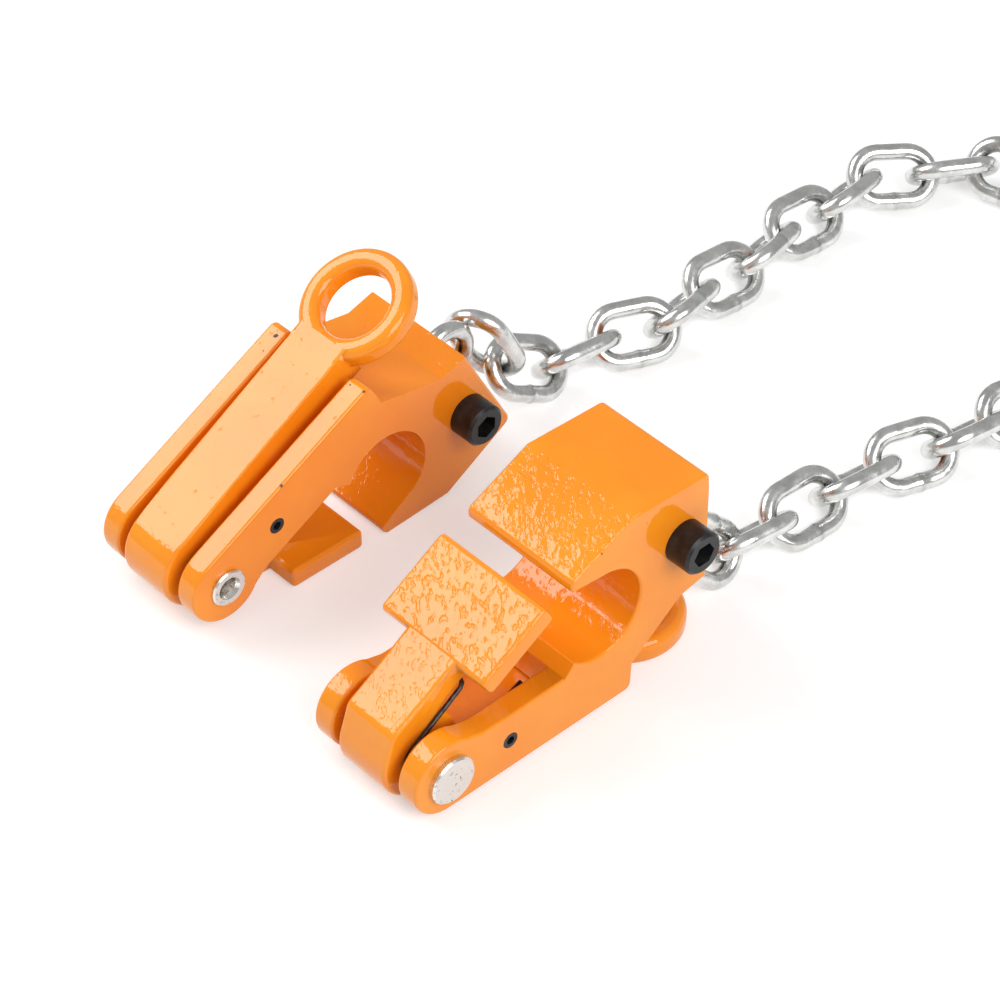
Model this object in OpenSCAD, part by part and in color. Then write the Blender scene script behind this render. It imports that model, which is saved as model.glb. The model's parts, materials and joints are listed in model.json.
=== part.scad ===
// Drum lifter: two lever clamps on a two leg chain with a lifting ring.
// Lengths are millimetres, Z is up and the floor is Z = 0.
// A clamp is drawn with X along its arms, Y from its back to its mouth and Z along its pin.

/* [Clamp body] */
// Width across both arms
body_width = 50; // [46:0.5:60]
// Thickness of each side arm
arm_wall = 9; // [7:0.5:11]
// Radius of the boss round the pin, also the depth of the back strips
boss_r = 14.5; // [13:0.5:15.5]
// Front edge of the arms, from the pin axis
arm_front = 10; // [8:0.5:12]
// Start of the web between the arms
web_start = 50.7; // [46:0.1:54]
// Back of the web, behind the pin axis
web_back = 2.5; // [1:0.5:4]
// End of the back strips
strip_end = 82; // [78:0.5:84]
// Length of the sloping shoulder
shoulder_length = 21.3; // [18:0.1:24]
// Rise of the sloping shoulder
shoulder_rise = 16.4; // [14:0.1:18]
// Pin axis to the chain end face
end_face = 114.8; // [112:0.1:124]
// Rise of the narrow face beside the chain end
end_rise = 2.3; // [1:0.1:4]
// Top of the head above the pin axis, at the chain end
head_top = 62; // [60:0.5:66]
// Extra height of the head at its ridge
ridge_rise = 1.4; // [0.5:0.1:3]
// Ridge of the head, from the pin axis
ridge_at = 79.7; // [76:0.1:84]
// Lip tip, from the pin axis along the clamp
lip_at = 53; // [50:0.5:56]
// Outer edge of the lip tip above the pin axis
lip_high = 51; // [50:0.5:53]
// Thickness of the lip at its tip
lip_wall = 4.5; // [3:0.5:6]
// Radius of the throat for the drum rim
throat_r = 17.6; // [15:0.1:18]
// Throat centre along the clamp
throat_at = 66.8; // [65:0.1:68]
// Throat centre above the pin axis
throat_high = 27.7; // [27:0.1:28.5]
// Rounding of the cast corners
corner_r = 3; // [1:0.5:4]

/* [Lever] */
// Width of the lever between the arms
lever_width = 23; // [18:0.5:25]
// Radius of the hub, also the back of the handle
hub_r = 16; // [15.5:0.5:18]
// Gap between the handle and the web when closed
handle_gap = 0.3; // [0.1:0.1:1]
// Centre of the eye along the clamp
eye_at = 102; // [100:0.5:110]
// Outer radius of the eye
eye_r = 21.5; // [19:0.5:24]
// Radius of the hole in the eye
eye_hole = 13.3; // [10:0.1:15]
// Thickness of the eye
eye_thick = 10; // [8:0.5:11]
// Start of the gripping pad along the clamp
pad_at = 14.4; // [13:0.1:16]
// Start of the gripping pad above the pin axis
pad_high = 31.3; // [30:0.1:33]
// Slope of the gripping pad
pad_slope = 30.5; // [27:0.5:33]
// Length of the gripping pad
pad_length = 32; // [26:0.5:33]
// Thickness of the gripping pad
pad_thick = 8; // [6:0.5:9]
// Width of the gripping pad
pad_width = 50; // [40:0.5:60]
// Thickness of the neck under the pad
neck_wall = 8.7; // [7:0.1:10]
// Length of the neck behind the pad
neck_length = 28.5; // [26:0.5:30]
// Step from the pad's face down to the neck's
neck_step = 0.3; // [0:0.1:1]
// Rounding of the corner between the neck and the hub
neck_corner = 5; // [3:0.5:7]

/* [Pin, screws and spring] */
// Pin shank diameter
pin_d = 11; // [8:0.5:12]
// Pin head diameter
pin_head_d = 18; // [15:0.5:22]
// Pin head thickness
pin_head = 2.5; // [1.5:0.5:4]
// Diameter of the flared tail
pin_tail_d = 14; // [13.5:0.5:18]
// Height of the flared tail
pin_tail = 1.5; // [1:0.5:3]
// Bore of the hollow tail
pin_bore = 7; // [4:0.5:7]
// Stop screw diameter
stop_d = 6; // [4:1:8]
// Stop screw position along the arm
stop_at = 26.5; // [24:0.5:30]
// Stop screw position behind the pin axis
stop_back = 1.5; // [0:0.5:3]
// Reach of a stop screw inside its arm
stop_reach = 2; // [1.5:0.1:3]
// Chain bolt diameter
bolt_d = 10; // [8:0.5:10.5]
// Chain bolt head diameter
bolt_head_d = 16; // [13:0.5:18]
// Chain bolt head height
bolt_head = 10; // [6:0.5:12]
// Chain bolt length under the head
bolt_length = 48; // [44:0.5:49]
// Chain bolt, from the end face
bolt_inset = 11.8; // [11.5:0.1:14]
// Chain bolt above the pin axis
bolt_high = 39.3; // [38:0.1:41]
// Spring wire diameter
spring_wire = 1.7; // [1.2:0.1:1.7]
// Spring coil mean radius
coil_r = 8; // [7.5:0.1:9]

/* [Chain] */
// Wire diameter of a link
link_wire = 6.6; // [5.5:0.1:6.8]
// Inside length of a link
link_inside = 24.6; // [23:0.1:27]
// Outside width of a link
link_width = 26; // [24.5:0.1:27]
// Wire diameter of the lifting ring
ring_wire = 10; // [8:0.5:10.5]
// Mean radius of the lifting ring
ring_r = 35; // [33:0.5:45]
// Width of the chain pocket in the head
pocket_width = 9.6; // [8:0.1:12]
// Reach of the chain pocket round the bolt
pocket_r = 14.6; // [14:0.1:15]
// Half height of the pocket at the end face
pocket_flare = 19.2; // [17:0.1:20]

/* [Clearances] */
// Running clearance between a pin or screw and its hole
play = 0.1; // [0.05:0.05:0.2]
// Slack between two links
slack = 0.3; // [0.2:0.1:0.6]
// Slack between the last links and the ring
ring_slack = 0.7; // [0.5:0.1:0.9]

/* [Rest pose] */
// Right clamp pin, across the floor
right_pin = [-33, -132];
// Right clamp heading
right_turn = 42.5; // [35:0.5:50]
// Left clamp pin, across the floor
left_pin = [-109, -47];
// Left clamp heading
left_turn = 42.5; // [35:0.5:50]
// Left clamp tilt, chain end up
left_tilt = 28; // [25:0.5:31]
// Origin on the floor, under the middle of the whole part
middle = [115, 16];

/* [Hidden] */
$fn = 64;

orange = [0.95, 0.52, 0.1];
steel = [0.72, 0.73, 0.74];
black = [0.1, 0.1, 0.11];

half_width = body_width / 2;
arm_inner = half_width - arm_wall;
half_lever = lever_width / 2;
bolt_at = end_face - bolt_inset;
shoulder_at = strip_end + shoulder_length;
shoulder_high = shoulder_rise - web_back;
end_low = shoulder_high + end_rise;
handle_front = web_back + handle_gap;
eye_high = hub_r - eye_thick / 2;

// Rest heights: the right clamp lies on its lever, the left one on its lip and pad.
pad_tip = [pad_at + pad_length * cos(pad_slope), pad_high + pad_length * sin(pad_slope)];
tip_r = 1.5;
lip_floor = [lip_at + tip_r + 0.4, lip_high - tip_r + 0.2];
left_height = lip_floor[1] * cos(left_tilt) - lip_floor[0] * sin(left_tilt) + tip_r;
left_open = atan2(pad_tip[1], pad_tip[0]) - left_tilt - asin((left_height - 0.1) / norm(pad_tip));
right_place = [right_pin[0] - middle[0], right_pin[1] - middle[1], hub_r];
left_place = [left_pin[0] - middle[0], left_pin[1] - middle[1], left_height];

// Each leg runs from its clamp to the ring. The first three links drop to the floor:
// heading, pitch away from the clamp, and roll. The others lie on the floor: heading and roll.
right_drop = [[right_turn, -15, 90], [35, -70, -5], [25, -40, 60]];
right_lie = [
    [35, -45], [40, 45], [35, -45], [25, 45], [35, -45], [30, 45], [20, -45],
    [-10, 45], [0, -45], [-10, 55], [30, -30], [30, 70], [85, -10], [110, 90]
];
left_drop = [[left_turn, 25, 90], [25, -65, -45], [30, -25, 45]];
left_lie = [
    [35, -45], [20, 45], [55, -45], [40, 45], [55, -45], [40, 45], [50, -45],
    [10, 45], [10, -45], [-30, 55], [-25, -30], [-30, 70], [-20, -10], [-20, 90]
];

link_r = link_wire / 2;
bar_r = (link_width - link_wire) / 2;
link_half = (link_inside + 2 * link_wire - link_width) / 2;
crown_span = link_inside + link_wire;

function turned(p, a) = [
    cos(a[2]) * p[0] - sin(a[2]) * p[1],
    sin(a[2]) * p[0] + cos(a[2]) * p[1],
    p[2]
];
function pitched(p, a) = [
    cos(a[1]) * p[0] + sin(a[1]) * p[2],
    p[1],
    cos(a[1]) * p[2] - sin(a[1]) * p[0]
];
function rolled(p, a) = [
    p[0],
    cos(a[0]) * p[1] - sin(a[0]) * p[2],
    sin(a[0]) * p[1] + cos(a[0]) * p[2]
];
// A direction after rotate(a).
function turn(p, a) = turned(pitched(rolled(p, a), a), a);

right_angles = [90, 0, right_turn];
left_angles = [-90, -left_tilt, left_turn];

// Height of a link's axis when it lies on the floor with this roll.
function lying(roll) = link_r + bar_r * abs(sin(roll));
// Common perpendicular of two wires, along the link.
function seat_way(a, b, along) =
    let (c = cross(a, b), n = c / norm(c))
    n * along < 0 ? -n : n;
// A link from its seat: middle, angles, far crown, far crown's wire direction.
function link_on(seat, wire, reach, angles) =
    let (along = turn([1, 0, 0], angles), across = turn([0, 1, 0], angles))
    let (near = seat - reach * seat_way(wire, across, along))
    [near + along * crown_span / 2, angles, near + along * crown_span, across];
// Pitch that brings the far crown of a lying link to its height.
function lying_pitch(seat, wire, heading, roll, high) =
    let (flat = [roll, 0, heading])
    let (way = seat_way(wire, turn([0, 1, 0], flat), turn([1, 0, 0], flat)))
    let (near = seat - (link_wire + slack) * way)
    asin((high - near[2]) / crown_span);
function drop_links(list, k, seat, wire, reach) =
    k == len(list) ? [] :
    let (link = link_on(seat, wire, reach, [list[k][2], -list[k][1], list[k][0]]))
    concat([link], drop_links(list, k + 1, link[2], link[3], link_wire + slack));
function lie_links(list, k, seat, wire) =
    k == len(list) ? [] :
    let (next = min(k + 1, len(list) - 1))
    let (high = max(lying(list[k][1]), lying(list[next][1])))
    let (pitch = lying_pitch(seat, wire, list[k][0], list[k][1], high))
    let (link = link_on(seat, wire, link_wire + slack, [list[k][1], -pitch, list[k][0]]))
    concat([link], lie_links(list, k + 1, link[2], link[3]));
function leg(drop, lie, place, angles) =
    let (seat = place + turn([bolt_at, bolt_high, 0], angles))
    let (wire = turn([0, 0, 1], angles))
    let (first = drop_links(drop, 0, seat, wire, bolt_d / 2 + link_r + slack))
    let (last = first[len(first) - 1])
    concat(first, lie_links(lie, 0, last[2], last[3]));

right_leg = leg(right_drop, right_lie, right_place, right_angles);
left_leg = leg(left_drop, left_lie, left_place, left_angles);

// The ring passes through the last crown of both legs and its far side lies on the floor.
ring_left = left_leg[len(left_leg) - 1][2];
ring_right = right_leg[len(right_leg) - 1][2];
ring_chord = ring_left - ring_right;
ring_reach = ring_r - (ring_wire / 2 + link_r + ring_slack);
ring_offset = sqrt(max(1, ring_reach * ring_reach - ring_chord * ring_chord / 4));
ring_way = [ring_chord[1], -ring_chord[0], 0] / norm([ring_chord[0], ring_chord[1]]);
ring_seat = (ring_left + ring_right) / 2;
ring_tilt = asin((ring_seat[2] - ring_wire / 2) / (ring_offset + ring_r));
ring_middle = ring_seat + ring_offset * (cos(ring_tilt) * ring_way - [0, 0, sin(ring_tilt)]);

module on_right() {
    translate(right_place) rotate(right_angles) children();
}

module on_left() {
    translate(left_place) rotate(left_angles) children();
}

// Outline of the head and web, seen along the pin.
module head_outline() {
    difference() {
        union() {
            polygon([
                [web_start, -web_back], [strip_end, -web_back], [shoulder_at, shoulder_high],
                [end_face, end_low], [end_face, head_top - corner_r],
                [end_face - corner_r, head_top], [ridge_at, head_top + ridge_rise],
                [lip_at + 0.75, lip_high + 0.35], [lip_at, lip_high - tip_r],
                [lip_at, lip_high - lip_wall + 1], [lip_at + 1, lip_high - lip_wall],
                [throat_at, throat_high + throat_r], [throat_at, throat_high],
                [web_start, throat_high - throat_r]
            ]);
            translate([end_face - corner_r, head_top - corner_r]) circle(r = corner_r);
            translate(lip_floor) circle(r = tip_r);
        }
        translate([throat_at, throat_high]) circle(r = throat_r);
    }
}

// Outline of an arm with its boss and back strip.
module arm_outline() {
    difference() {
        union() {
            circle(r = boss_r);
            polygon([
                [0, -boss_r], [strip_end - corner_r, -boss_r], [strip_end - 0.5, corner_r - boss_r],
                [strip_end, -web_back], [strip_end, arm_front], [throat_at, arm_front], [0, arm_front]
            ]);
            translate([strip_end - corner_r - 0.5, corner_r - boss_r]) circle(r = corner_r);
            polygon([
                [9, arm_front], [8, sqrt(boss_r * boss_r - 64)], [15, arm_front]
            ]);
        }
        translate([throat_at, throat_high]) circle(r = throat_r);
    }
}

module pocket_outline() {
    translate([bolt_at, bolt_high]) circle(r = pocket_r);
    polygon([
        [bolt_at, bolt_high - pocket_r], [end_face + 1, bolt_high - pocket_flare],
        [end_face + 1, bolt_high + pocket_flare], [bolt_at, bolt_high + pocket_r]
    ]);
}

module clamp_body() {
    difference() {
        union() {
            for (side = [-1, 1])
                translate([0, 0, side * (arm_inner + arm_wall / 2)])
                    linear_extrude(arm_wall, center = true) arm_outline();
            linear_extrude(body_width, center = true) head_outline();
        }
        cylinder(d = pin_d + 2 * play, h = body_width + 2, center = true);
        translate([stop_at, -stop_back, 0])
            cylinder(d = stop_d + 2 * play, h = body_width + 2, center = true);
        translate([bolt_at, bolt_high, 0])
            cylinder(d = bolt_d + 2 * play, h = body_width + 2, center = true);
        linear_extrude(pocket_width, center = true) pocket_outline();
    }
}

module pad_outline() {
    round = 2;
    translate([pad_at, pad_high]) rotate(pad_slope) {
        translate([round, -pad_thick]) square([pad_length - 2 * round, pad_thick]);
        translate([0, round - pad_thick]) square([pad_length, pad_thick - 2 * round]);
        for (at = [round, pad_length - round], high = [-round, round - pad_thick])
            translate([at, high]) circle(r = round);
    }
}

// The neck runs from the pad back to a rounded corner above the hub.
neck_foot = [pad_at, pad_high - neck_step];
neck_way = [cos(pad_slope), sin(pad_slope)];
neck_down = [neck_way[1], -neck_way[0]];
corner_at = neck_foot - neck_length * neck_way + neck_corner * neck_down;
wall_turn = atan2(corner_at[1], corner_at[0]) + acos((hub_r - neck_corner) / norm(corner_at));
wall_way = [cos(wall_turn), sin(wall_turn)];

module neck_outline() {
    hub_join = 62;
    translate(neck_foot) rotate(pad_slope) {
        translate([-neck_length, -neck_wall]) square([neck_length + pad_thick, neck_wall]);
        translate([-neck_length, -neck_corner]) circle(r = neck_corner);
    }
    polygon([
        hub_r * wall_way, corner_at + neck_corner * wall_way, corner_at,
        neck_foot - neck_wall / 2 * neck_way + neck_wall / 2 * neck_down,
        neck_foot - neck_wall / 2 * neck_way + neck_wall * neck_down,
        hub_r * [cos(hub_join), sin(hub_join)], [0, 0]
    ]);
}

module lever() {
    difference() {
        union() {
            linear_extrude(lever_width, center = true) {
                circle(r = hub_r);
                translate([0, -hub_r]) square([eye_at - eye_r + 6, hub_r - handle_front]);
                neck_outline();
            }
            linear_extrude(pad_width, center = true) pad_outline();
            translate([eye_at, -eye_high, 0]) rotate([90, 0, 0]) eye();
        }
        cylinder(d = pin_d + 2 * play, h = lever_width + 2, center = true);
        translate([eye_at, -eye_high, 0]) rotate([90, 0, 0])
            cylinder(r = eye_hole, h = 2 * eye_thick, center = true);
    }
}

// Ring with a rounded section and a short straight bore.
module eye() {
    round = eye_thick * 0.36;
    inner = eye_hole;
    rotate_extrude() {
        translate([inner, round - eye_thick / 2]) square([eye_r - inner, eye_thick - 2 * round]);
        translate([inner + round, -eye_thick / 2]) square([eye_r - inner - 2 * round, eye_thick]);
        for (at = [inner + round, eye_r - round], high = [round - eye_thick / 2, eye_thick / 2 - round])
            translate([at, high]) circle(r = round);
    }
}

module pivot_pin() {
    flare = 1;
    depth = 12;
    rotate_extrude() polygon([
        [0, half_width + pin_head], [pin_head_d / 2 - 0.6, half_width + pin_head],
        [pin_head_d / 2, half_width + pin_head - 0.6], [pin_head_d / 2, half_width],
        [pin_d / 2, half_width], [pin_d / 2, -half_width], [pin_tail_d / 2, -half_width],
        [pin_tail_d / 2, -half_width - pin_tail + 0.5], [pin_tail_d / 2 - 0.5, -half_width - pin_tail],
        [pin_bore / 2 + flare, -half_width - pin_tail], [pin_bore / 2, -half_width - pin_tail + 2 * flare],
        [pin_bore / 2, depth - half_width], [0, depth + pin_bore / 4 - half_width]
    ]);
}

module stop_screws() {
    length = arm_wall + stop_reach;
    socket = stop_d / 2;
    for (side = [-1, 1])
        translate([stop_at, -stop_back, side * (half_width - length / 2)])
            difference() {
                cylinder(d = stop_d, h = length, center = true);
                translate([0, 0, side * length / 2])
                    cylinder(d = socket / cos(30), h = 6, center = true, $fn = 6);
            }
}

module chain_bolt() {
    bevel = 1;
    socket = bolt_d * 0.8;
    difference() {
        rotate_extrude() polygon([
            [0, half_width + bolt_head], [bolt_head_d / 2 - bevel, half_width + bolt_head],
            [bolt_head_d / 2, half_width + bolt_head - bevel], [bolt_head_d / 2, half_width],
            [bolt_d / 2, half_width], [bolt_d / 2, half_width - bolt_length + bevel],
            [bolt_d / 2 - bevel, half_width - bolt_length], [0, half_width - bolt_length]
        ]);
        translate([0, 0, half_width + bolt_head])
            cylinder(d = socket / cos(30), h = bolt_head, center = true, $fn = 6);
    }
}

// Path of one half of the spring, from its fixed leg to the middle of the bridge.
wire_r = spring_wire / 2;
coil_out = arm_inner - wire_r - play;
coil_in = half_lever + wire_r + play;
stop_gap = coil_r + stop_d / 2 + wire_r + play;
leg_slope = atan2(-stop_back, stop_at) + asin(stop_gap / norm([stop_at, stop_back]));
leg_length = norm([stop_at, stop_back]) + 14;
leg_foot = [coil_r * sin(leg_slope), -coil_r * cos(leg_slope)];
closed_bridge = neck_foot + (neck_wall + wire_r + 2 * play) * neck_down - 1.5 * neck_way;
coil_from = leg_slope - 90;
coil_steps = 36;
leg_way = [cos(leg_slope), sin(leg_slope)];
function flat_point(p, w) = [p[0], p[1], w];
// The bridge follows the lever as it opens.
function bridge_seat(open) = [
    cos(open) * closed_bridge[0] + sin(open) * closed_bridge[1],
    cos(open) * closed_bridge[1] - sin(open) * closed_bridge[0]
];
function half_path(open) =
    let (bridge = bridge_seat(open))
    let (slope = atan2(bridge[1], bridge[0]) - asin(coil_r / norm(bridge)))
    let (way = [cos(slope), sin(slope)], coil_to = slope + 90 - 720)
    concat(
        [flat_point(leg_foot + leg_length * leg_way, coil_out)],
        [flat_point(leg_foot + 0.5 * leg_way, coil_out)],
        [for (i = [0:coil_steps])
            let (a = coil_from + (coil_to - coil_from) * i / coil_steps)
            [coil_r * cos(a), coil_r * sin(a), coil_out + (coil_in - coil_out) * i / coil_steps]],
        [flat_point(bridge - 2.4 * way, coil_in)],
        [flat_point(bridge - 0.7 * way, coil_in - 0.7)],
        [flat_point(bridge, coil_in - 2.4)]
    );
function spring_path(open) =
    let (half = half_path(open))
    concat(half, [for (i = [len(half) - 1:-1:0]) [half[i][0], half[i][1], -half[i][2]]]);
function unit(v) = v / norm(v);
function path_way(path, i) = unit(path[min(i + 1, len(path) - 1)] - path[max(i - 1, 0)]);
function side_step(n, way) = unit(n - (n * way) * way);

module return_spring(open) {
    sides = 10;
    path = spring_path(open);
    count = len(path);
    first = side_step([0, 0, 1], path_way(path, 0));
    normals = [for (i = 0, n = first; i < count; i = i + 1, n = side_step(n, path_way(path, min(i, count - 1)))) n];
    points = [for (i = [0:count - 1], j = [0:sides - 1])
        let (b = cross(path_way(path, i), normals[i]))
        path[i] + wire_r * (cos(360 * j / sides) * normals[i] + sin(360 * j / sides) * b)];
    walls = [for (i = [0:count - 2], j = [0:sides - 1])
        let (k = (j + 1) % sides)
        [(i + 1) * sides + j, (i + 1) * sides + k, i * sides + k, i * sides + j]];
    ends = [
        [for (j = [0:sides - 1]) j],
        [for (j = [sides - 1:-1:0]) (count - 1) * sides + j]
    ];
    polyhedron(points, concat(walls, ends));
}

module chain_link(link) {
    color(steel) translate(link[0]) rotate(link[1]) {
        for (side = [-1, 1]) {
            translate([0, side * bar_r, 0]) rotate([0, 90, 0])
                cylinder(r = link_r, h = 2 * link_half, center = true, $fn = 32);
            translate([side * link_half, 0, 0]) rotate([0, 0, -90 * side])
                rotate_extrude(angle = 180) translate([bar_r, 0]) circle(r = link_r, $fn = 32);
        }
    }
}

module lifting_ring() {
    color(steel) translate(ring_middle) rotate(ring_tilt, ring_chord)
        rotate_extrude($fn = 96) translate([ring_r, 0]) circle(d = ring_wire);
}

module right_clamp_body() {
    color(orange) on_right() clamp_body();
}

module right_lever() {
    color(orange) on_right() lever();
}

module right_pivot_pin() {
    color(steel) on_right() pivot_pin();
}

module right_return_spring() {
    color(black) on_right() return_spring(0);
}

module right_stop_screws() {
    color(black) on_right() stop_screws();
}

module right_chain_bolt() {
    color(black) on_right() translate([bolt_at, bolt_high, 0]) chain_bolt();
}

module left_clamp_body() {
    color(orange) on_left() clamp_body();
}

module left_lever() {
    color(orange) on_left() rotate(-left_open) lever();
}

module left_pivot_pin() {
    color(steel) on_left() pivot_pin();
}

module left_return_spring() {
    color(black) on_left() return_spring(left_open);
}

module left_stop_screws() {
    color(black) on_left() stop_screws();
}

// The left bolt goes in from the other side, so that both heads face the same way.
module left_chain_bolt() {
    color(black) on_left() translate([bolt_at, bolt_high, 0]) rotate([180, 0, 0]) chain_bolt();
}

right_clamp_body();
right_lever();
right_pivot_pin();
right_return_spring();
right_stop_screws();
right_chain_bolt();
left_clamp_body();
left_lever();
left_pivot_pin();
left_return_spring();
left_stop_screws();
left_chain_bolt();
lifting_ring();
chain_link(right_leg[0]);  // right_link_01
chain_link(right_leg[1]);  // right_link_02
chain_link(right_leg[2]);  // right_link_03
chain_link(right_leg[3]);  // right_link_04
chain_link(right_leg[4]);  // right_link_05
chain_link(right_leg[5]);  // right_link_06
chain_link(right_leg[6]);  // right_link_07
chain_link(right_leg[7]);  // right_link_08
chain_link(right_leg[8]);  // right_link_09
chain_link(right_leg[9]);  // right_link_10
chain_link(right_leg[10]);  // right_link_11
chain_link(right_leg[11]);  // right_link_12
chain_link(right_leg[12]);  // right_link_13
chain_link(right_leg[13]);  // right_link_14
chain_link(right_leg[14]);  // right_link_15
chain_link(right_leg[15]);  // right_link_16
chain_link(right_leg[16]);  // right_link_17
chain_link(left_leg[0]);  // left_link_01
chain_link(left_leg[1]);  // left_link_02
chain_link(left_leg[2]);  // left_link_03
chain_link(left_leg[3]);  // left_link_04
chain_link(left_leg[4]);  // left_link_05
chain_link(left_leg[5]);  // left_link_06
chain_link(left_leg[6]);  // left_link_07
chain_link(left_leg[7]);  // left_link_08
chain_link(left_leg[8]);  // left_link_09
chain_link(left_leg[9]);  // left_link_10
chain_link(left_leg[10]);  // left_link_11
chain_link(left_leg[11]);  // left_link_12
chain_link(left_leg[12]);  // left_link_13
chain_link(left_leg[13]);  // left_link_14
chain_link(left_leg[14]);  // left_link_15
chain_link(left_leg[15]);  // left_link_16
chain_link(left_leg[16]);  // left_link_17
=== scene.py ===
"""Drum lifter: two orange cast clamps with sprung levers, on a two leg galvanised chain."""
import json
import math

import bmesh
import bpy
import numpy as np
from mathutils import Matrix, Vector
from mathutils.bvhtree import BVHTree


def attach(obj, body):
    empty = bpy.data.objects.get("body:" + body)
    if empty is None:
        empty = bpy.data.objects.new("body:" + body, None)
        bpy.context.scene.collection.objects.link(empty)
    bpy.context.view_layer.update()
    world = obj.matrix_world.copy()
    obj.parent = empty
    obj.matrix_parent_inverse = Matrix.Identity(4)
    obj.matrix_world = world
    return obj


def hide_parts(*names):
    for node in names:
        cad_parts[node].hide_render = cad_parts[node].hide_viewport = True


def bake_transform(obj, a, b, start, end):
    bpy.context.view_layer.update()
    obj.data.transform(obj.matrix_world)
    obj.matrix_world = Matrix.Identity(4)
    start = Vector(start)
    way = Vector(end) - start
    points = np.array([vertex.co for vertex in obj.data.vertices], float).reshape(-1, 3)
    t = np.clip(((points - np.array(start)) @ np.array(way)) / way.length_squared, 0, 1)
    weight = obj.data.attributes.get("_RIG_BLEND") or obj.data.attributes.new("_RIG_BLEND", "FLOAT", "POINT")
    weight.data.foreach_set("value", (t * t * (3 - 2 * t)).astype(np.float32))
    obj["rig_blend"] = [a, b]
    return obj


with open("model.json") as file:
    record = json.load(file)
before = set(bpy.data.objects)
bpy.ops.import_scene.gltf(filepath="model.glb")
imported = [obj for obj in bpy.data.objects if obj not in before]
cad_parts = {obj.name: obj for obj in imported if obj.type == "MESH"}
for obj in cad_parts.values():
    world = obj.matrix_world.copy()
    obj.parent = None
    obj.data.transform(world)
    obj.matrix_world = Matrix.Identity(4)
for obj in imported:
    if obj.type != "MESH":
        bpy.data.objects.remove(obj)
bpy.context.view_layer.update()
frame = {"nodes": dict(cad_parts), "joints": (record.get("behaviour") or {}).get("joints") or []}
nodes = frame["nodes"]
joints = {joint["name"]: joint for joint in frame["joints"]}

# Chain and ring sizes in metres.
wire_radius = 0.0033
bar_offset = 0.0097
bar_half = 0.0059
ring_wire_radius = 0.005
ring_radius = 0.035
weld_swell = 0.09
weld_half = 0.0014
ring_weld_half = 0.002
# Lengths of the first rings of faces beside a link's weld.
weld_steps = [0.0005, 0.0006, 0.0006, 0.0006, 0.0006]
# How far the wear at a link's crown reaches along it and in from its inner side.
wear_length = 0.005
wear_depth = 0.004

# Heading and tilt of each clamp as it lies on the floor, in degrees.
lies = {"right": (42.5, 0.0), "left": (42.5, 28.0)}
# How far the left lever stands off its closed place, in degrees about the pin.
left_lever_turn = -2.64

# Rounding of the castings' edges, in metres, and the short edges that are merged before it.
body_radius = 0.0012
lever_radius = 0.0016
body_merge = 0.00025
lever_merge = 0.00015
# Edges nearer than this to the axis of a hole stay sharp.
pin_hole_reach = 0.0078
bolt_hole_reach = 0.0072
screw_hole_reach = 0.0045
# Along the lever, where the rounding starts to fade and where it ends, before the ring of the handle.
eye_fade = (0.077, 0.0805)
# Sharper edges than this are rounded, and flatter ones than the second are joined, in degrees.
sharp_angle = 32
flat_angle = 0.6
# Points of the CAD meshes that are the same, and how near to a cut a point is taken to lie on it.
same_point = 2e-6
cut_snap = 2e-5
on_cut = 3e-5
# The share of the free width beside an edge that its rounding may take.
room_share = 0.42
# Folds: areas in square metres, the gap from the CAD surface that is no fold, as a share of the radius and a
# length, and what is taken back of the rounding beside them.
fold_share = 0.55
fold_gap = 0.0002
speck_area = 2e-8
large_area = 1e-6
few_corners = 12
ease_reach = 0.0045
ease_share = 0.8
ease_rounds = 20

# Faces that look this way, towards the mouth and back along the clamp, have the rough cast skin.
rough_mouth = 0.875
rough_back = 0.485
rough_match = 0.985
# The skin's strength on them, on the neck beside the pin, and on all other faces, where the sides have less.
rough_skin = 1.0
neck_skin = 0.45
neck_length = 0.013
smooth_skin = 0.16
side_skin_loss = 0.12


def clamp_axes(side):
    """Pin position, and the directions along the clamp, from back to mouth, and along the pin."""
    joint = joints[side + "_lever_open"]
    heading, tilt = (math.radians(value) for value in lies[side])
    along = Vector((math.cos(tilt) * math.cos(heading), math.cos(tilt) * math.sin(heading), math.sin(tilt)))
    pin_way = -Vector(joint["axis"]).normalized()
    return Vector(joint["pos_m"]), along, pin_way.cross(along), pin_way


# Node helpers.


def new_material(name):
    material = bpy.data.materials.new(name)
    material.use_nodes = True
    tree = material.node_tree
    shader = tree.nodes["Principled BSDF"]
    where = tree.nodes.new("ShaderNodeTexCoord")
    return material, tree, shader, where.outputs["Object"]


def noise(tree, where, scale, detail=2.0, rough=0.5, stretch=None):
    if stretch is not None:
        mapping = tree.nodes.new("ShaderNodeMapping")
        mapping.inputs["Rotation"].default_value = stretch[0]
        mapping.inputs["Scale"].default_value = stretch[1]
        tree.links.new(where, mapping.inputs["Vector"])
        where = mapping.outputs["Vector"]
    node = tree.nodes.new("ShaderNodeTexNoise")
    node.inputs["Scale"].default_value = scale
    node.inputs["Detail"].default_value = detail
    node.inputs["Roughness"].default_value = rough
    tree.links.new(where, node.inputs["Vector"])
    return node.outputs["Fac"]


def ramp(tree, value, low, high, from_value=0.0, to_value=1.0):
    node = tree.nodes.new("ShaderNodeMapRange")
    node.interpolation_type = "SMOOTHSTEP"
    node.inputs["From Min"].default_value = low
    node.inputs["From Max"].default_value = high
    node.inputs["To Min"].default_value = from_value
    node.inputs["To Max"].default_value = to_value
    tree.links.new(value, node.inputs["Value"])
    return node.outputs["Result"]


def math_node(tree, operation, first, second):
    node = tree.nodes.new("ShaderNodeMath")
    node.operation = operation
    for socket, value in zip(node.inputs, (first, second)):
        if isinstance(value, (int, float)):
            socket.default_value = value
        else:
            tree.links.new(value, socket)
    return node.outputs["Value"]


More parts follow.
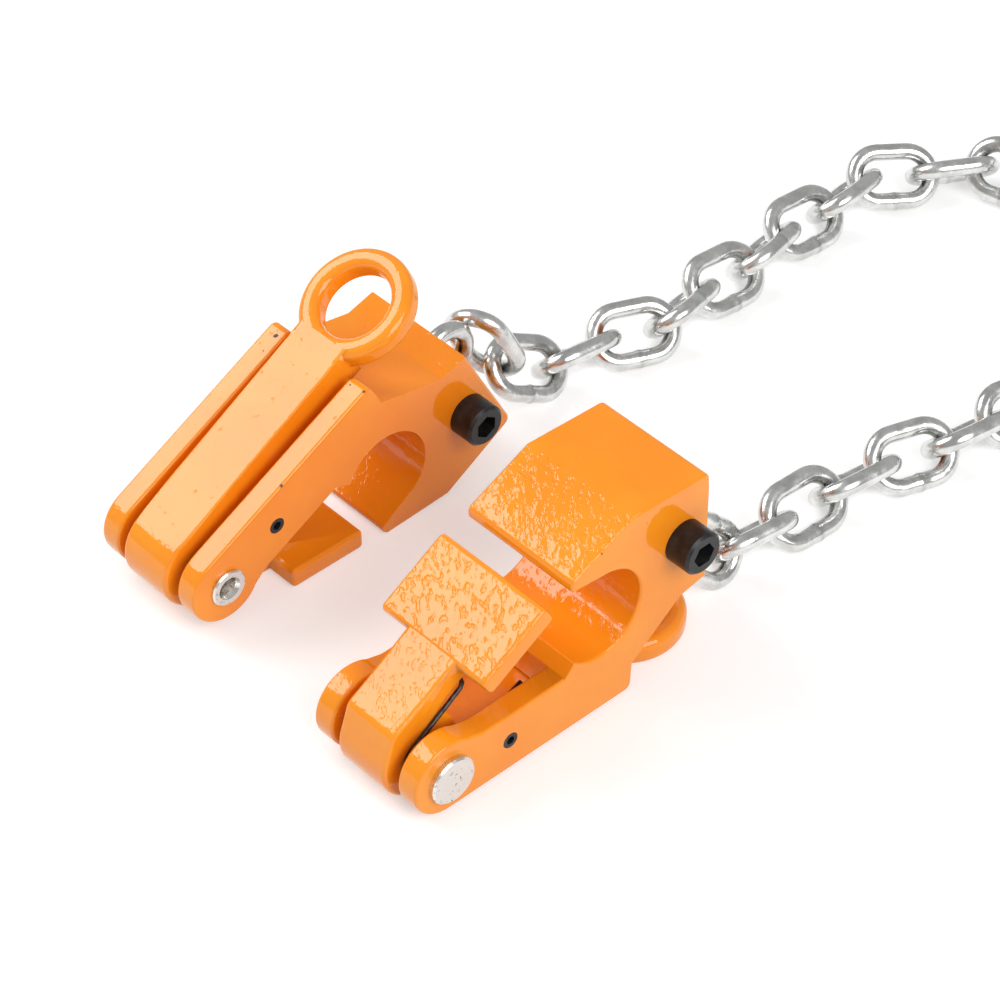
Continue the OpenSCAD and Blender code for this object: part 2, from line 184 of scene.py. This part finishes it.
def mix(tree, share, first, second):
    node = tree.nodes.new("ShaderNodeMix")
    node.data_type = "RGBA"
    tree.links.new(share, node.inputs["Factor"])
    for socket, value in ((node.inputs[6], first), (node.inputs[7], second)):
        if isinstance(value, tuple):
            socket.default_value = (*value, 1.0)
        else:
            tree.links.new(value, socket)
    return node.outputs[2]


def mask(tree, name):
    node = tree.nodes.new("ShaderNodeAttribute")
    node.attribute_name = name
    return node.outputs["Fac"]


def bump(tree, height, depth, strength=1.0, under=None):
    node = tree.nodes.new("ShaderNodeBump")
    node.inputs["Strength"].default_value = strength
    node.inputs["Distance"].default_value = depth
    tree.links.new(height, node.inputs["Height"])
    if under is not None:
        tree.links.new(under, node.inputs["Normal"])
    return node.outputs["Normal"]


# Finishes.

enamel_deep = (0.93, 0.276, 0.01)
enamel_light = (0.96, 0.315, 0.013)
bare_iron = (0.1, 0.08, 0.065)
zinc_dull = (0.6, 0.605, 0.59)
zinc_bright = (0.8, 0.805, 0.79)
soot_grey = (0.26, 0.255, 0.245)
rust_brown = (0.3, 0.1, 0.045)
weld_grey = (0.4, 0.4, 0.39)
pin_zinc = (0.74, 0.73, 0.7)
pin_spot = (0.25, 0.24, 0.23)
oxide_deep = (0.012, 0.012, 0.013)
oxide_light = (0.03, 0.03, 0.031)
spring_deep = (0.035, 0.033, 0.032)
spring_light = (0.1, 0.095, 0.09)
# Turn and stretch of the cast skin's lumps and pits.
skin_turn = (0.3, 0.2, 0.7)
lump_stretch = (1.0, 0.6, 0.85)
pit_stretch = (1.0, 0.55, 0.8)


def near_places(tree, where, places, rough):
    """A mask that is 1 within a rough edged spot round each place, given as a point and a radius."""
    total = None
    for point, radius in places:
        node = tree.nodes.new("ShaderNodeVectorMath")
        node.operation = "DISTANCE"
        tree.links.new(where, node.inputs[0])
        node.inputs[1].default_value = point
        unevenness = math_node(tree, "MULTIPLY", rough, 2.4 * radius)
        distance = math_node(tree, "ADD", node.outputs["Value"], unevenness)
        spot = ramp(tree, distance, 1.9 * radius, 2.1 * radius, 1.0, 0.0)
        total = spot if total is None else math_node(tree, "MAXIMUM", total, spot)
    return total


def orange_enamel(chipped):
    """Gloss enamel over a casting: lumps and pits on the rough cast faces break up the reflections."""
    material, tree, shader, where = new_material("orange_enamel")
    cast = mask(tree, "cast")
    tone = noise(tree, where, 28, 3)
    paint = mix(tree, ramp(tree, tone, 0.35, 0.65), enamel_deep, enamel_light)
    chips = near_places(tree, where, chipped, noise(tree, where, 700, 3, 0.6))
    tree.links.new(mix(tree, chips, paint, bare_iron), shader.inputs["Base Color"])
    tree.links.new(ramp(tree, chips, 0.0, 1.0, 0.045, 0.7), shader.inputs["Roughness"])
    lumps = math_node(tree, "MULTIPLY", noise(tree, where, 230, 2, 0.5, (skin_turn, lump_stretch)), cast)
    pits = ramp(tree, noise(tree, where, 520, 2, 0.5, (skin_turn, pit_stretch)), 0.5, 0.7, 1.0, 0.0)
    pits = math_node(tree, "MULTIPLY", pits, cast)
    waves = noise(tree, where, 55, 1)
    specks = ramp(tree, noise(tree, where, 420, 2), 0.7, 0.78, 1.0, 0.0)
    grain = noise(tree, where, 520, 1)
    normal = bump(tree, lumps, 0.0003)
    for height, depth in ((pits, 0.00022), (waves, 0.00028), (specks, 0.00012), (grain, 0.00002)):
        normal = bump(tree, height, depth, 1.0, normal)
    tree.links.new(normal, shader.inputs["Normal"])
    return material


def galvanised_chain():
    material, tree, shader, where = new_material("galvanised_chain")
    tone = noise(tree, where, 160, 4, 0.6)
    metal = mix(tree, ramp(tree, tone, 0.3, 0.7), zinc_dull, zinc_bright)
    contact = mask(tree, "contact")
    soot = math_node(tree, "MULTIPLY", ramp(tree, noise(tree, where, 240, 3), 0.4, 0.62), contact)
    metal = mix(tree, math_node(tree, "MULTIPLY", soot, 0.7), metal, soot_grey)
    rust = ramp(tree, noise(tree, where, 75, 3), 0.6, 0.68)
    rust = math_node(tree, "MULTIPLY", rust, ramp(tree, contact, 0.15, 0.7))
    metal = mix(tree, rust, metal, rust_brown)
    weld = mask(tree, "weld")
    metal = mix(tree, ramp(tree, weld, 0.3, 1.0, 0.0, 0.45), metal, weld_grey)
    tree.links.new(metal, shader.inputs["Base Color"])
    tree.links.new(ramp(tree, rust, 0.0, 0.6, 1.0, 0.15), shader.inputs["Metallic"])
    tree.links.new(ramp(tree, tone, 0.3, 0.7, 0.17, 0.3), shader.inputs["Roughness"])
    dents = bump(tree, noise(tree, where, 150, 2), 0.0002)
    grain = bump(tree, noise(tree, where, 900, 2), 0.00002, 1.0, dents)
    tree.links.new(grain, shader.inputs["Normal"])
    return material


def zinc_pin():
    material, tree, shader, where = new_material("zinc_pin")
    spots = ramp(tree, noise(tree, where, 700, 3, 0.6), 0.6, 0.7)
    metal = mix(tree, spots, pin_zinc, pin_spot)
    tree.links.new(metal, shader.inputs["Base Color"])
    shader.inputs["Metallic"].default_value = 1.0
    tree.links.new(ramp(tree, spots, 0.0, 1.0, 0.26, 0.5), shader.inputs["Roughness"])
    tree.links.new(bump(tree, noise(tree, where, 480, 3), 0.0003, 0.6), shader.inputs["Normal"])
    return material


def black_oxide():
    material, tree, shader, where = new_material("black_oxide")
    tone = noise(tree, where, 260, 3)
    metal = mix(tree, ramp(tree, tone, 0.35, 0.7), oxide_deep, oxide_light)
    tree.links.new(metal, shader.inputs["Base Color"])
    shader.inputs["Metallic"].default_value = 0.35
    tree.links.new(ramp(tree, tone, 0.3, 0.7, 0.34, 0.48), shader.inputs["Roughness"])
    tree.links.new(bump(tree, noise(tree, where, 1200, 2), 0.00008, 0.5), shader.inputs["Normal"])
    return material


def spring_steel():
    material, tree, shader, where = new_material("spring_steel")
    tone = noise(tree, where, 500, 2)
    metal = mix(tree, ramp(tree, tone, 0.3, 0.7), spring_deep, spring_light)
    tree.links.new(metal, shader.inputs["Base Color"])
    shader.inputs["Metallic"].default_value = 0.9
    tree.links.new(ramp(tree, tone, 0.3, 0.7, 0.28, 0.45), shader.inputs["Roughness"])
    tree.links.new(bump(tree, noise(tree, where, 1500, 1), 0.00005, 0.4), shader.inputs["Normal"])
    return material


# Chipped corners: places on the clamp in millimetres along it, towards the mouth and along the pin,
# and a radius as a share of the largest chip's.
millimetre = 0.001
largest_chip = 0.0014
chip_list = [
    ("right", 106.5, 63.4, 25.0, 0.8), ("right", 75.0, 63.4, 25.0, 0.35), ("right", 66.0, 56.0, 25.0, 0.35),
    ("left", 76.8, -14.5, 19.5, 0.7), ("left", 70.0, -14.5, 19.0, 0.3), ("left", 36.9, -14.5, -24.7, 0.7),
    ("left", 78.1, -14.5, -18.4, 0.4), ("left", 79.2, -14.5, -24.8, 0.6),
]
chipped = []
for side, reach, height, across, radius in chip_list:
    pin, along, mouth, pin_way = clamp_axes(side)
    step = reach * along + height * mouth + across * pin_way
    chipped.append((pin + millimetre * step, largest_chip * radius))

enamel = orange_enamel(chipped)
galvanised = galvanised_chain()
zinc = zinc_pin()
oxide = black_oxide()
spring_wire = spring_steel()


# Pieces.


def add_piece(name, shape, material, body, node):
    mesh = bpy.data.meshes.new(name)
    shape.to_mesh(mesh)
    shape.free()
    for face in mesh.polygons:
        face.use_smooth = True
    mesh.materials.append(material)
    piece = bpy.data.objects.new(name, mesh)
    bpy.context.scene.collection.objects.link(piece)
    if body:
        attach(piece, body)
    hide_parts(node)
    return piece


def off_axis(point, axis):
    """Distance of a point from an axis, given as a point and a direction."""
    step = point - axis[0]
    return (step - step.dot(axis[1]) * axis[1]).length


def gap_to_edge(point, edge):
    """Distance of a point from an edge between its two ends."""
    start = edge.verts[0].co
    way = edge.verts[1].co - start
    share = max(0.0, min(1.0, (point - start).dot(way) / max(way.length_squared, 1e-18)))
    return (point - start - share * way).length


def room_beside(edge, radius):
    """How far a rounding may reach into the narrower of an edge's two faces."""
    start = edge.verts[0].co
    way = (edge.verts[1].co - start).normalized()
    room = 1.0
    for face in edge.link_faces:
        room = min(room, max(off_axis(vert.co, (start, way)) for vert in face.verts))
        first = list(face.edges).index(edge) + 1
        corners = list(face.verts)
        ring = corners[first:] + corners[:first]
        walked = [0.0]
        for here, there in zip(ring, ring[1:]):
            walked.append(walked[-1] + (there.co - here.co).length)
        for vert, done in zip(ring, walked):
            if min(done, walked[-1] - done) > 3 * radius:
                room = min(room, gap_to_edge(vert.co, edge))
    return room


def sharp_copy(node, radius, merge, along, holes, ends):
    """A CAD node's shape, with a weight on each sharp edge: the share of the radius that it is rounded by.

    The edges of holes stay sharp, and each hole is cut in half, so that no flat face has a hole in it.
    Past each end, which is a point, the rounding fades out."""
    shape = bmesh.new()
    shape.from_mesh(nodes[node].data)
    weight = shape.edges.layers.float.new("bevel_weight_edge")
    bmesh.ops.remove_doubles(shape, verts=shape.verts, dist=same_point)
    cuts = [axis[0] for axis, reach in holes] + list(ends)
    for point in cuts:
        everything = list(shape.verts) + list(shape.edges) + list(shape.faces)
        bmesh.ops.bisect_plane(shape, geom=everything, dist=cut_snap, plane_co=point, plane_no=along)
    loose = {
        vert for vert in shape.verts if all(abs((vert.co - point).dot(along)) > on_cut for point in cuts)}
    inner = [edge for edge in shape.edges if edge.verts[0] in loose or edge.verts[1] in loose]
    bmesh.ops.dissolve_limit(shape, angle_limit=math.radians(flat_angle), verts=list(loose), edges=inner)
    plain = [vert for vert in shape.verts if all((vert.co - point).dot(along) < 0 for point in ends)]
    bmesh.ops.remove_doubles(shape, verts=plain, dist=merge)
    for edge in shape.edges:
        if not edge.is_convex or edge.calc_face_angle() < math.radians(sharp_angle):
            continue
        middle = (edge.verts[0].co + edge.verts[1].co) / 2
        if any(off_axis(middle, axis) < reach for axis, reach in holes):
            continue
        past = sum((middle - point).dot(along) > 0 for point in ends)
        share = 1.0 - past / len(ends) if ends else 1.0
        edge[weight] = share * min(1.0, room_share * room_beside(edge, radius) / radius)
    return shape


def bevelled(shape, radius):
    """The shape as a mesh, with its weighted edges rounded."""
    mesh = bpy.data.meshes.new("sharp_casting")
    shape.to_mesh(mesh)
    trial = bpy.data.objects.new("sharp_casting", mesh)
    bpy.context.scene.collection.objects.link(trial)
    rounding = trial.modifiers.new("rounding", "BEVEL")
    rounding.limit_method = "WEIGHT"
    rounding.width = radius
    rounding.segments = 3
    rounding.use_clamp_overlap = False
    graph = bpy.context.evaluated_depsgraph_get()
    result = bpy.data.meshes.new_from_object(trial.evaluated_get(graph))
    bpy.data.objects.remove(trial)
    bpy.data.meshes.remove(mesh)
    return result


def folds_of(mesh, surface, radius):
    """Triangles that the rounding turned over or threw off the CAD surface.

    Each has the number of its sharp face, its area, and its middle with its corners."""
    mesh.calc_loop_triangles()
    source = mesh.attributes["source"].data
    folds = []
    for triangle in mesh.loop_triangles:
        corners = [mesh.vertices[index].co.copy() for index in triangle.vertices]
        middle = sum(corners, Vector()) / 3
        normal, gap = surface.find_nearest(middle)[1::2]
        turned = normal.dot(triangle.normal) < -0.2
        if triangle.area > speck_area and (turned or gap > fold_share * radius + fold_gap):
            folds.append((source[triangle.polygon_index].value, triangle.area, [middle] + corners))
    return folds


def ease(shape, folds):
    """Take back some of the rounding beside each fold."""
    weight = shape.edges.layers.float["bevel_weight_edge"]
    shape.faces.ensure_lookup_table()
    for source, area, spots in folds:
        face = shape.faces[source]
        if area > large_area and len(face.verts) <= few_corners:
            beside = list(face.edges)
        else:
            near = spots if area > large_area else spots[:1]
            beside = [
                edge for edge in shape.edges if min(gap_to_edge(spot, edge) for spot in near) < ease_reach]
        for edge in beside:
            edge[weight] *= ease_share


def round_casting(shape, node, radius):
    """Round the weighted edges, and take the rounding back wherever it folds a face over."""
    source = shape.faces.layers.int.new("source")
    for number, face in enumerate(shape.faces):
        face[source] = number
    solid = nodes[node].data
    solid.calc_loop_triangles()
    triangles = [tuple(triangle.vertices) for triangle in solid.loop_triangles]
    surface = BVHTree.FromPolygons([vert.co for vert in solid.vertices], triangles)
    mesh = bevelled(shape, radius)
    for attempt in range(ease_rounds - 1):
        folds = folds_of(mesh, surface, radius)
        if not folds:
            break
        ease(shape, folds)
        bpy.data.meshes.remove(mesh)
        mesh = bevelled(shape, radius)
    shape.clear()
    shape.from_mesh(mesh)
    bpy.data.meshes.remove(mesh)
    shape.faces.layers.int.remove(shape.faces.layers.int["source"])
    return shape


def even_shading(piece):
    """Flat faces look flat up to their rounded edges."""
    shading = piece.modifiers.new("even_shading", "WEIGHTED_NORMAL")
    shading.keep_sharp = False
    shading.weight = 80


def mark_cast_faces(shape, side):
    """The sloping face of the head and the pad keep the rough skin; the other faces are nearly smooth."""
    pin, along, mouth, pin_way = clamp_axes(side)
    rough_way = (mouth * rough_mouth - along * rough_back).normalized()
    shape.normal_update()
    cast = shape.faces.layers.float.new("cast")
    for face in shape.faces:
        reach = (face.calc_center_median() - pin).dot(along)
        if face.normal.dot(rough_way) > rough_match:
            face[cast] = rough_skin if reach > neck_length else neck_skin
        else:
            face[cast] = smooth_skin - side_skin_loss * abs(face.normal.dot(pin_way))


def middle_of(node):
    points = [vert.co for vert in nodes[node].data.vertices]
    return sum(points, Vector()) / len(points)


def make_body(side):
    pin_at, along, mouth, pin_way = clamp_axes(side)
    bolt_at = middle_of(side + "_chain_bolt")
    screws_at = middle_of(side + "_stop_screws")
    reaches = ((pin_at, pin_hole_reach), (bolt_at, bolt_hole_reach), (screws_at, screw_hole_reach))
    holes = [((point, pin_way), reach) for point, reach in reaches]
    node = side + "_clamp_body"
    shape = sharp_copy(node, body_radius, body_merge, along, holes, ())
    mark_cast_faces(shape, side)
    shape = round_casting(shape, node, body_radius)
    even_shading(add_piece(side + "_cast_body", shape, enamel, side + "_clamp", node))


def clamp_frame(side):
    """The matrix from a clamp's own directions, with the pin at the origin, to where it lies."""
    pin_at, along, mouth, pin_way = clamp_axes(side)
    return Matrix.Translation(pin_at) @ Matrix((along, mouth, pin_way)).transposed().to_4x4()


def make_levers():
    """The levers are alike, so one is rounded, and its copy is laid on the left clamp."""
    pin_at, along, mouth, pin_way = clamp_axes("right")
    eye_ends = [pin_at + reach * along for reach in eye_fade]
    holes = [((pin_at, pin_way), pin_hole_reach)]
    shape = sharp_copy("right_lever", lever_radius, lever_merge, along, holes, eye_ends)
    mark_cast_faces(shape, "right")
    shape = round_casting(shape, "right_lever", lever_radius)
    turn = Matrix.Rotation(math.radians(left_lever_turn), 4, "Z")
    copied = shape.copy()
    move = clamp_frame("left") @ turn @ clamp_frame("right").inverted()
    bmesh.ops.transform(copied, matrix=move, verts=copied.verts)
    for side, lever in (("right", shape), ("left", copied)):
        body = side + "_lever"
        even_shading(add_piece(side + "_cast_lever", lever, enamel, body, side + "_lever"))


def place_fastener(side, node, name, material):
    """A pin or screw as it is in the CAD, with its sharp edges marked."""
    shape = bmesh.new()
    shape.from_mesh(nodes[side + node].data)
    bmesh.ops.remove_doubles(shape, verts=shape.verts, dist=same_point)
    for edge in shape.edges:
        edge.smooth = edge.calc_face_angle(0.0) < math.radians(sharp_angle)
    add_piece(side + name, shape, material, side + "_clamp", side + node)


def make_clamps():
    make_levers()
    for side in ("right", "left"):
        make_body(side)
        place_fastener(side, "_pivot_pin", "_zinc_pin", zinc)
        place_fastener(side, "_chain_bolt", "_cap_screw", oxide)
        place_fastener(side, "_stop_screws", "_set_screws", oxide)


def make_spring(side):
    """The coils and fixed legs stay with the clamp, and the bridge goes with the lever."""
    shape = bmesh.new()
    node = side + "_return_spring"
    shape.from_mesh(nodes[node].data)
    bmesh.ops.remove_doubles(shape, verts=shape.verts, dist=same_point)
    piece = add_piece(side + "_spring_wire", shape, spring_wire, None, node)
    pin, along, mouth, pin_way = clamp_axes(side)
    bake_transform(piece, side + "_clamp", side + "_lever", start=pin + 0.009 * mouth, end=pin + 0.018 * mouth)


def axes_of(node):
    """Middle and main directions of a CAD node, longest first."""
    mesh = nodes[node].data
    mesh.calc_loop_triangles()
    points = np.array([vert.co for vert in mesh.vertices])
    corners = np.array([triangle.vertices for triangle in mesh.loop_triangles])
    a, b, c = points[corners[:, 0]], points[corners[:, 1]], points[corners[:, 2]]
    area = np.linalg.norm(np.cross(b - a, c - a), axis=1)
    centre = (a + b + c) / 3
    middle = (centre * area[:, None]).sum(0) / area.sum()
    spread = centre - middle
    ways = np.linalg.eigh((spread * area[:, None]).T @ spread)[1][:, ::-1]
    if np.linalg.det(ways) < 0:
        ways[:, 2] = -ways[:, 2]
    return Vector(middle), Matrix(ways.tolist())


def pull(shape, edges, step):
    """Draw a loop of edges out by a step, and give the new loop."""
    made = bmesh.ops.extrude_edge_only(shape, edges=edges)["geom"]
    points = [item for item in made if isinstance(item, bmesh.types.BMVert)]
    bmesh.ops.translate(shape, vec=step, verts=points)
    return [item for item in made if isinstance(item, bmesh.types.BMEdge)]


def link_shape():
    """One welded link, from a circle that is pulled along the bars and spun round the crowns."""
    shape = bmesh.new()
    bmesh.ops.create_circle(shape, segments=20, radius=wire_radius)
    upright = Matrix.Rotation(math.radians(90), 3, "Y")
    bmesh.ops.rotate(shape, cent=(0, 0, 0), matrix=upright, verts=shape.verts)
    bmesh.ops.translate(shape, vec=(0, -bar_offset, 0), verts=shape.verts)
    ring = list(shape.edges)
    rest = bar_half - sum(weld_steps)
    for step in weld_steps + [rest / 2, rest / 2]:
        ring = pull(shape, ring, (step, 0, 0))
    for way in (1, -1):
        crown = bmesh.ops.spin(
            shape, geom=ring, cent=(way * bar_half, 0, 0), axis=(0, 0, 1), angle=math.pi, steps=18)
        ring = [item for item in crown["geom_last"] if isinstance(item, bmesh.types.BMEdge)]
        for part in range(8 if way == 1 else 4):
            ring = pull(shape, ring, (-way * bar_half / 4, 0, 0))
    bmesh.ops.remove_doubles(shape, verts=shape.verts, dist=1e-5)
    bmesh.ops.recalc_face_normals(shape, faces=shape.faces)
    weld = shape.verts.layers.float.new("weld")
    contact = shape.verts.layers.float.new("contact")
    for vert in shape.verts:
        x, y, z = vert.co
        if y < 0:
            vert[weld] = math.exp(-(x / weld_half) ** 2)
        end = max(0.0, abs(x) - bar_half)
        inner = bar_offset - math.hypot(end, y)
        at_crown = max(0.0, min(1.0, end / wear_length))
        vert[contact] = at_crown * max(0.0, min(1.0, 0.35 + inner / wear_depth))
    for vert in shape.verts:
        swell = 1.0 + weld_swell * vert[weld]
        vert.co.y = -bar_offset + (vert.co.y + bar_offset) * swell if vert.co.y < 0 else vert.co.y
        vert.co.z *= swell
    return shape


def make_link(node):
    middle, ways = axes_of(node)
    shape = link_shape()
    bmesh.ops.transform(shape, matrix=Matrix.Translation(middle) @ ways.to_4x4(), verts=shape.verts)
    add_piece(node.replace("_link_", "_chain_link_"), shape, galvanised, node, node)


def make_ring():
    middle, ways = axes_of("lifting_ring")
    shape = bmesh.new()
    bmesh.ops.create_circle(shape, segments=28, radius=ring_wire_radius)
    upright = Matrix.Rotation(math.radians(90), 3, "X")
    bmesh.ops.rotate(shape, cent=(0, 0, 0), matrix=upright, verts=shape.verts)
    bmesh.ops.translate(shape, vec=(ring_radius, 0, 0), verts=shape.verts)
    bmesh.ops.spin(
        shape, geom=list(shape.edges), cent=(0, 0, 0), axis=(0, 0, 1), angle=2 * math.pi, steps=96,
        use_merge=True)
    bmesh.ops.recalc_face_normals(shape, faces=shape.faces)
    weld = shape.verts.layers.float.new("weld")
    shape.verts.layers.float.new("contact")
    for vert in shape.verts:
        if vert.co.x > 0:
            vert[weld] = math.exp(-(vert.co.y / ring_weld_half) ** 2)
    bmesh.ops.transform(shape, matrix=Matrix.Translation(middle) @ ways.to_4x4(), verts=shape.verts)
    add_piece("welded_ring", shape, galvanised, "ring", "lifting_ring")


make_clamps()
for side in ("right", "left"):
    make_spring(side)
for node in sorted(nodes):
    if "_link_" in node:
        make_link(node)
make_ring()


# Floor, light and camera.


def make_floor():
    shape = bmesh.new()
    bmesh.ops.create_grid(shape, x_segments=1, y_segments=1, size=6)
    mesh = bpy.data.meshes.new("floor")
    shape.to_mesh(mesh)
    shape.free()
    floor = bpy.data.objects.new("floor", mesh)
    bpy.context.scene.collection.objects.link(floor)
    material, tree, shader, where = new_material("white_floor")
    shader.inputs["Base Color"].default_value = (0.72, 0.72, 0.72, 1.0)
    shader.inputs["Roughness"].default_value = 0.8
    shader.inputs["Specular IOR Level"].default_value = 0.1
    light_path = tree.nodes.new("ShaderNodeLightPath")
    seen = light_path.outputs["Is Camera Ray"]
    for ray in ("Is Glossy Ray", "Is Transmission Ray"):
        seen = math_node(tree, "MAXIMUM", seen, light_path.outputs[ray])
    shader.inputs["Emission Color"].default_value = (1.0, 0.995, 0.99, 1.0)
    tree.links.new(math_node(tree, "MULTIPLY", seen, 0.42), shader.inputs["Emission Strength"])
    mesh.materials.append(material)


def add_softbox(name, place, target, width, height, power):
    lamp = bpy.data.lights.new(name, "AREA")
    lamp.shape = "RECTANGLE"
    lamp.size = width
    lamp.size_y = height
    lamp.energy = power
    softbox = bpy.data.objects.new(name, lamp)
    softbox.location = place
    softbox.rotation_euler = (Vector(target) - Vector(place)).to_track_quat("-Z", "Y").to_euler()
    bpy.context.scene.collection.objects.link(softbox)


def make_light():
    world = bpy.data.worlds.new("studio")
    bpy.context.scene.world = world
    world.use_nodes = True
    background = world.node_tree.nodes["Background"]
    background.inputs["Color"].default_value = (1.0, 1.0, 1.0, 1.0)
    background.inputs["Strength"].default_value = 0.45
    add_softbox("key_softbox", (-1.35, 0.4, 1.28), (-0.1, -0.05, 0.04), 1.17, 0.95, 19)
    add_softbox("fill_softbox", (0.9, -1.3, 1.2), (-0.1, 0, 0), 1.3, 1.3, 24)


def make_camera():
    lens = bpy.data.cameras.new("photo_camera")
    lens.angle = math.radians(16.53)
    camera = bpy.data.objects.new("photo_camera", lens)
    camera.location = (-0.115, -0.9253, 0.8193)
    target = Vector((-0.115, -0.016, 0.0))
    camera.rotation_euler = (target - camera.location).to_track_quat("-Z", "Y").to_euler()
    bpy.context.scene.collection.objects.link(camera)
    bpy.context.scene.camera = camera


make_floor()
make_light()
make_camera()
bpy.context.scene.view_settings.view_transform = "Standard"
